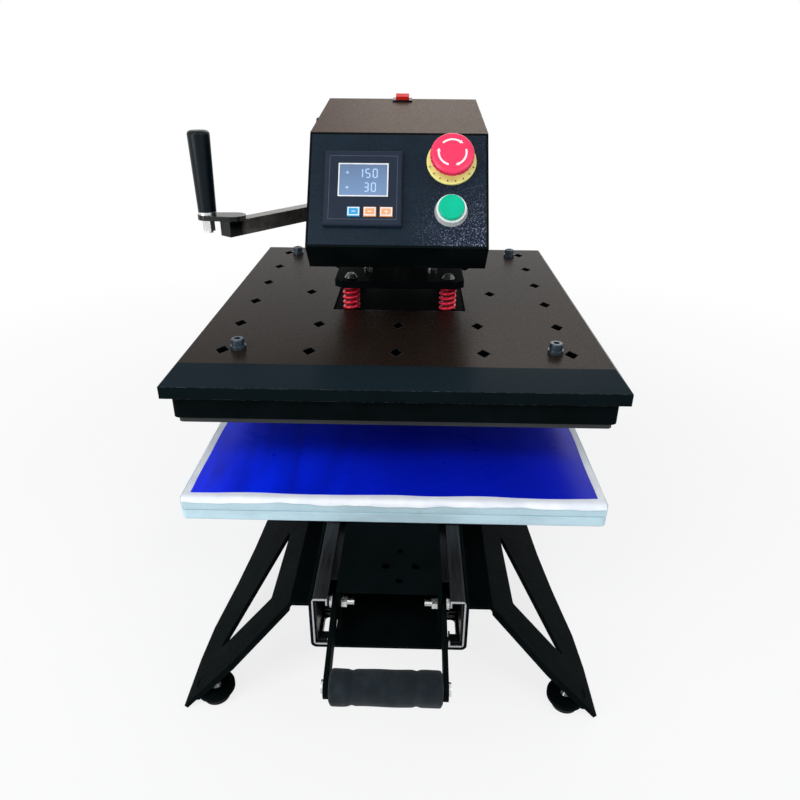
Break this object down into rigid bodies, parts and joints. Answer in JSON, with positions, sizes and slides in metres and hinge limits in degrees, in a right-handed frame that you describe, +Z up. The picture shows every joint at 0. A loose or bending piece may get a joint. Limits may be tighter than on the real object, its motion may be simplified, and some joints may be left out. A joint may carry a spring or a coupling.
{
  "type": "pneumatic heat press",
  "caption": "Swing-away air-operated heat press with a pull-out lower platen on sloping legs.",
  "frame": {"origin": "centre of the whole machine's box, on the table", "axes": "+X to the operator's right, -Y towards the operator, +Z up"},
  "size_m": [0.431, 0.8734, 0.52],
  "materials": {
    "black_powder": "fine-textured black powder coat",
    "slide_steel": "zinc plated",
    "platen_aluminium": "cast, lightly brushed",
    "zinc_screws": "bright zinc",
    "blued_screws": "blued steel",
    "chrome": "ground and hard chromed",
    "bronze": "sintered bronze",
    "rubber": "moulded",
    "foam": "closed-cell foam",
    "silicone": "silicone foam",
    "white_cloth": "woven",
    "blue_film": "glossy film",
    "black_plastic": "moulded",
    "display_glass": "display window",
    "blue_key": "moulded",
    "orange_key": "moulded",
    "green_button": "moulded",
    "button_ring": "satin chromed",
    "yellow_ring": "moulded",
    "red_button": "moulded",
    "red_rocker": "moulded",
    "red_spring": "red enamel",
    "wool": "mineral wool"
  },
  "bodies": {
    "base": {"base_deck": "black_powder", "side_plates": "black_powder", "rubber_feet": "rubber", "base_screws": "zinc_screws", "slide_tray": "black_powder", "slide_outer": "slide_steel", "swing_column": "black_powder", "pivot_shaft": "slide_steel"},
    "slide_middle": {"slide_middle": "slide_steel"},
    "drawer": {"slide_inner": "slide_steel", "carriage": "black_powder", "lower_platen": "platen_aluminium", "silicone_pad": "silicone", "white_sheet": "white_cloth", "blue_film": "blue_film", "handle_arms": "black_powder", "handle_rod": "slide_steel", "handle_grip": "foam", "drawer_screws": "zinc_screws"},
    "head": {"hub_bushes": "bronze", "swing_beam": "black_powder", "guide_bushes": "bronze", "cylinder_caps": "platen_aluminium", "cylinder_barrel": "platen_aluminium", "return_spring": "slide_steel", "housing_shell": "black_powder", "control_panel": "black_powder", "rear_panel": "black_powder", "power_inlet": "black_plastic", "controller_body": "black_plastic", "controller_display": "display_glass", "start_button_ring": "button_ring", "estop_base": "yellow_ring", "switch_frame": "black_plastic", "solenoid_valve": "platen_aluminium", "exhaust_silencer": "bronze", "regulator_body": "black_plastic", "swing_handle_arm": "black_powder", "swing_grip": "black_plastic", "swing_grip_bolt": "zinc_screws"},
    "press": {"piston_rod": "chrome", "guide_rods": "chrome", "bridge_plate": "black_powder"},
    "upper_platen": {"float_bolts": "blued_screws", "platen_springs": "red_spring", "mount_plate": "slide_steel", "heat_platen": "platen_aluminium", "heat_wool": "wool", "platen_skirt": "black_powder", "platen_cover": "black_powder", "corner_spacers": "blued_screws", "corner_screws": "blued_screws"},
    "start_cap": {"start_button": "green_button"},
    "estop_plunger": {"estop_stem": "black_plastic"},
    "estop_mushroom": {"estop_head": "red_button"},
    "key_1": {"controller_key_1": "blue_key"},
    "key_2": {"controller_key_2": "orange_key"},
    "key_3": {"controller_key_3": "orange_key"},
    "rocker": {"power_rocker": "red_rocker"},
    "pressure_knob": {"regulator_knob": "black_plastic"}
  },
  "joints": [
    {"name": "head_swing", "type": "hinge", "parent": "base", "child": "head", "pos_m": [0, 0.36775, 0.361], "axis": [0, 0, 1], "range_deg": [0, 90]},
    {"name": "press_stroke", "type": "slide", "parent": "head", "child": "press", "axis": [0, 0, -1], "range_m": [0, 0.06], "stiffness_N_per_m": 3000, "springref_m": -0.1, "deforming": ["return_spring"]},
    {"name": "platen_float", "type": "slide", "parent": "press", "child": "upper_platen", "axis": [0, 0, 1], "range_m": [0, 0.005], "stiffness_N_per_m": 60000, "springref_m": -0.001, "deforming": ["platen_springs"]},
    {"name": "drawer_slide", "type": "slide", "parent": "base", "child": "drawer", "axis": [0, -1, 0], "range_m": [-0.036, 0.364]},
    {"name": "middle_slide", "type": "slide", "parent": "base", "child": "slide_middle", "axis": [0, -1, 0], "range_m": [-0.018, 0.182]},
    {"name": "start_push", "type": "slide", "parent": "head", "child": "start_cap", "axis": [0, 0.8031, -0.5958], "range_m": [0, 0.003], "stiffness_N_per_m": 300, "springref_m": -0.002},
    {"name": "estop_push", "type": "slide", "parent": "head", "child": "estop_plunger", "axis": [0, 0.8031, -0.5958], "range_m": [0, 0.004]},
    {"name": "estop_release", "type": "hinge", "parent": "estop_plunger", "child": "estop_mushroom", "pos_m": [0.05, -0.12504, 0.47302], "axis": [0, -0.8031, 0.5958], "range_deg": [-45, 0], "stiffness_Nm_per_rad": 0.02},
    {"name": "power_switch", "type": "hinge", "parent": "head", "child": "rocker", "pos_m": [0, 0.05875, 0.51238], "axis": [-1, 0, 0], "range_deg": [0, 18]},
    {"name": "pressure_turn", "type": "hinge", "parent": "head", "child": "pressure_knob", "pos_m": [0.064, 0.13275, 0.443], "axis": [0, 0, 1], "range_deg": [-720, 720]},
    {"name": "key_1_push", "type": "slide", "parent": "head", "child": "key_1", "axis": [0, 0.8031, -0.5958], "range_m": [0, 0.0008], "stiffness_N_per_m": 200, "springref_m": -0.001},
    {"name": "key_2_push", "type": "slide", "parent": "head", "child": "key_2", "axis": [0, 0.8031, -0.5958], "range_m": [0, 0.0008], "stiffness_N_per_m": 200, "springref_m": -0.001},
    {"name": "key_3_push", "type": "slide", "parent": "head", "child": "key_3", "axis": [0, 0.8031, -0.5958], "range_m": [0, 0.0008], "stiffness_N_per_m": 200, "springref_m": -0.001}
  ],
  "couplings": [
    {"joint": "middle_slide", "follows": "drawer_slide", "ratio": 0.5}
  ]
}
